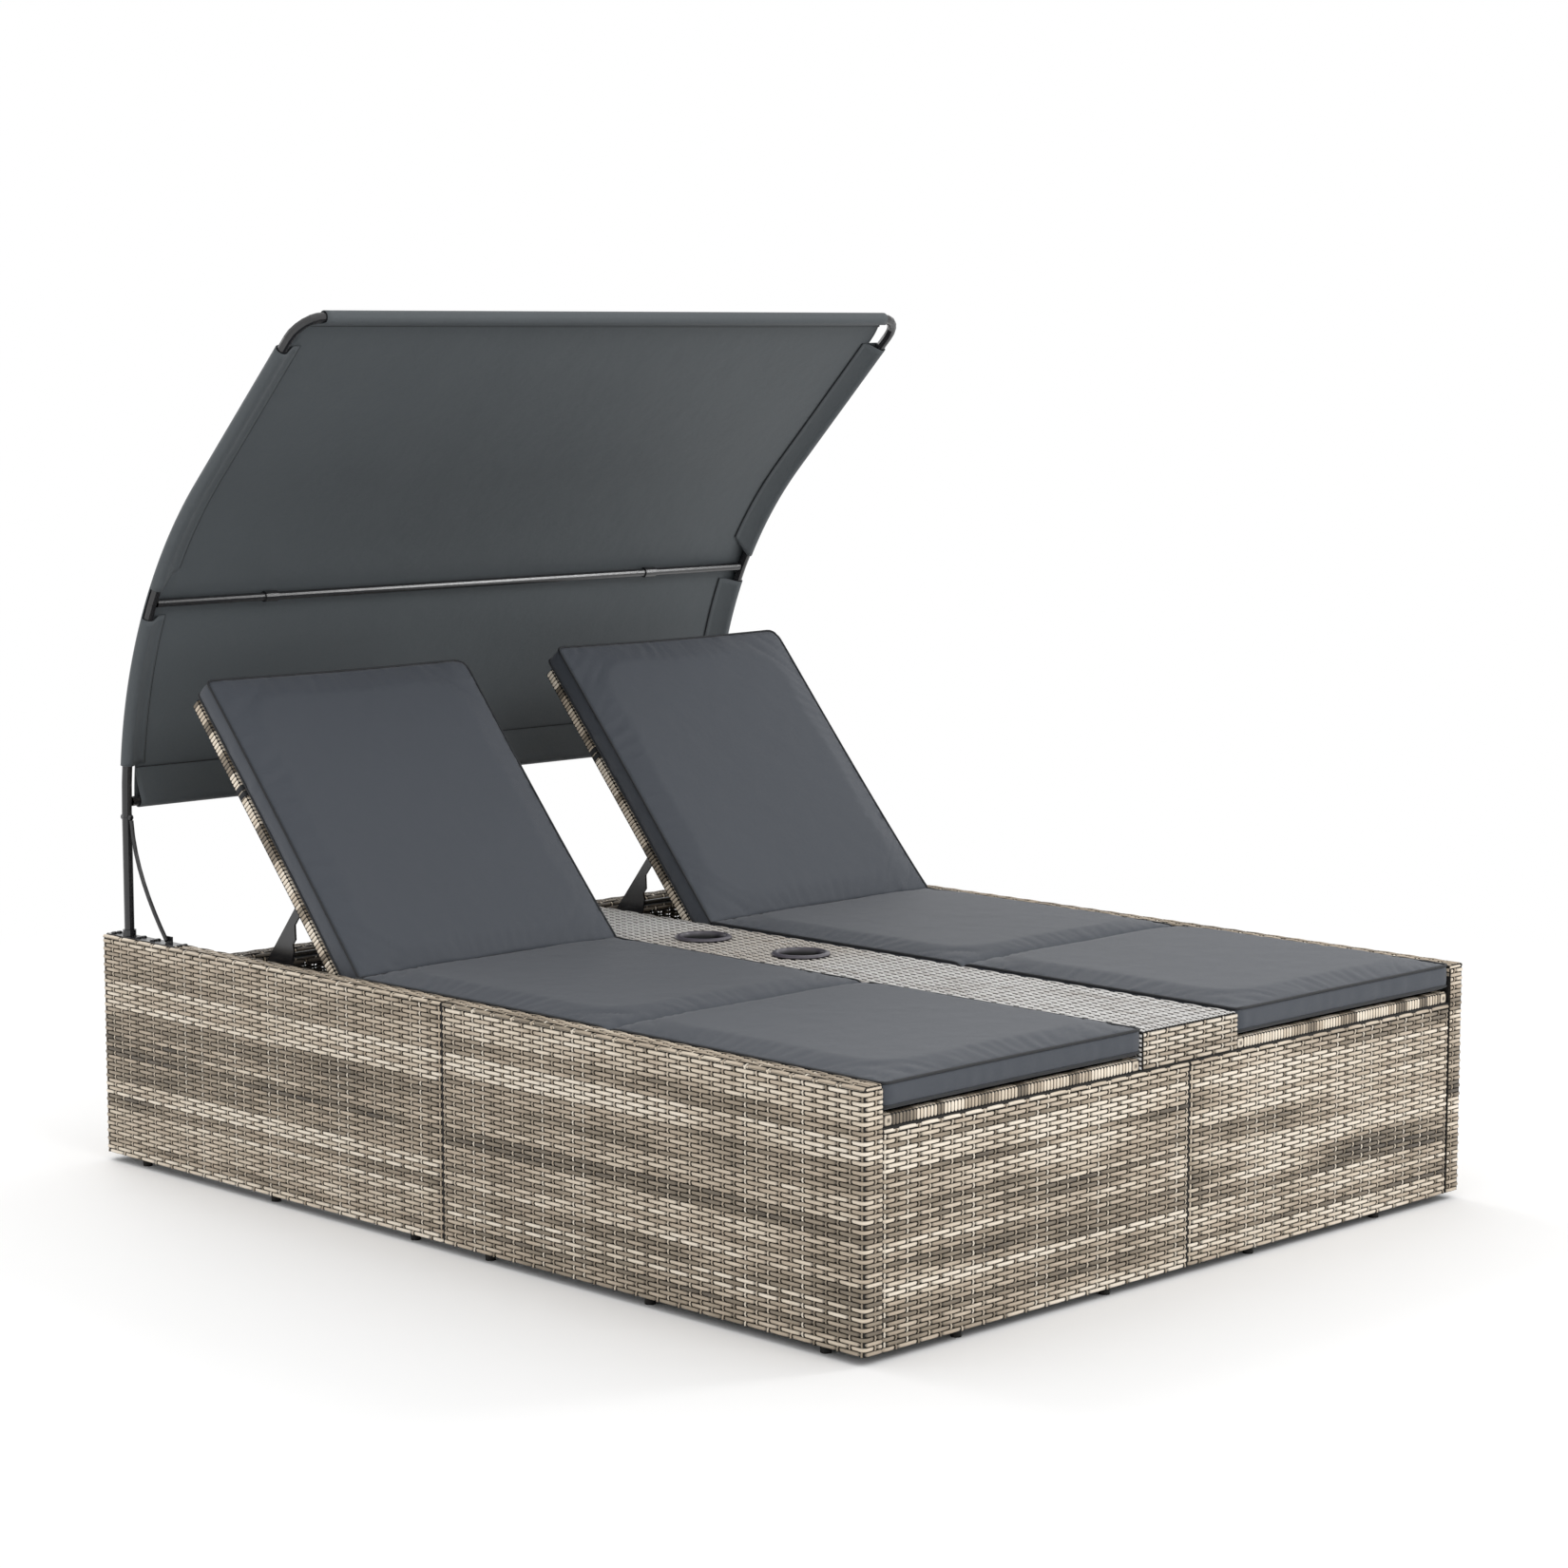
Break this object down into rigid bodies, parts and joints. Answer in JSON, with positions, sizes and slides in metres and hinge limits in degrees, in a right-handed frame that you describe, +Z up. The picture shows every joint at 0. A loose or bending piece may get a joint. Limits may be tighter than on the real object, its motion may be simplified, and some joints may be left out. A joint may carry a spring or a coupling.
{
  "type": "outdoor daybed",
  "caption": "Woven outdoor daybed for two with reclining padded backs on toothed props, a console with cup holders and a curved fabric canopy over the head end.",
  "frame": {"origin": "on the ground under the middle of the bed", "axes": "+X across the bed to the right as seen from the foot, +Y from the foot to the head, +Z up"},
  "size_m": [1.56, 2, 1.6065],
  "materials": {
    "wicker": "flat woven strands in beige, tan and grey",
    "cushion_fabric": "woven outdoor fabric, anthracite",
    "canopy_fabric": "woven outdoor fabric, anthracite",
    "steel": "satin powder coat, near black",
    "cup_plastic": "glossy, near black"
  },
  "bodies": {
    "base": {"left_side_panel_foot": "wicker", "foot_end_panel_left": "wicker", "left_side_panel_head": "wicker", "head_end_panel_left": "wicker", "left_catch_rod": "steel", "left_seat_frame": "wicker", "left_seat_deck": "wicker", "left_seat_cushion": "cushion_fabric", "left_hinge_lug_outer": "steel", "left_hinge_pin_outer": "steel", "left_hinge_lug_inner": "steel", "left_hinge_pin_inner": "steel", "left_post_plate": "steel", "left_canopy_post": "steel", "left_canopy_side_tube": "steel", "left_canopy_brace": "steel", "right_side_panel_foot": "wicker", "foot_end_panel_right": "wicker", "right_side_panel_head": "wicker", "head_end_panel_right": "wicker", "right_catch_rod": "steel", "right_seat_frame": "wicker", "right_seat_deck": "wicker", "right_seat_cushion": "cushion_fabric", "right_hinge_lug_outer": "steel", "right_hinge_pin_outer": "steel", "right_hinge_lug_inner": "steel", "right_hinge_pin_inner": "steel", "right_post_plate": "steel", "right_canopy_post": "steel", "right_canopy_side_tube": "steel", "right_canopy_brace": "steel", "console_foot": "wicker", "cup_holder_foot": "cup_plastic", "console_head": "wicker", "cup_holder_head": "cup_plastic", "mid_cross_beam": "steel", "hinge_cross_beam": "steel", "mid_centre_leg": "steel", "head_centre_leg": "steel", "canopy_hoop": "steel", "canopy_mid_bar": "steel", "canopy_rear_bar": "steel", "canopy_cloth": "canopy_fabric"},
    "left_back": {"left_back_frame": "wicker", "left_back_deck": "wicker", "left_back_cushion": "cushion_fabric", "left_prop_pin": "steel"},
    "left_prop": {"left_prop_arm_outer": "steel", "left_prop_arm_inner": "steel", "left_prop_tie": "steel"},
    "right_back": {"right_back_frame": "wicker", "right_back_deck": "wicker", "right_back_cushion": "cushion_fabric", "right_prop_pin": "steel"},
    "right_prop": {"right_prop_arm_outer": "steel", "right_prop_arm_inner": "steel", "right_prop_tie": "steel"}
  },
  "joints": [
    {"name": "left_back_recline", "type": "hinge", "parent": "base", "child": "left_back", "pos_m": [-0.4325, 0.308, 0.3758], "axis": [1, 0, 0], "range_deg": [-49, 24]},
    {"name": "left_prop_swing", "type": "hinge", "parent": "left_back", "child": "left_prop", "pos_m": [-0.4325, 0.47677, 0.54709], "axis": [1, 0, 0], "range_deg": [-20, 41]},
    {"name": "right_back_recline", "type": "hinge", "parent": "base", "child": "right_back", "pos_m": [0.4325, 0.308, 0.3758], "axis": [1, 0, 0], "range_deg": [-49, 24]},
    {"name": "right_prop_swing", "type": "hinge", "parent": "right_back", "child": "right_prop", "pos_m": [0.4325, 0.47677, 0.54709], "axis": [1, 0, 0], "range_deg": [-20, 41]}
  ],
  "couplings": [
    {"joint": "left_prop_swing", "follows": "left_back_recline", "ratio": -0.817},
    {"joint": "right_prop_swing", "follows": "right_back_recline", "ratio": -0.817}
  ]
}
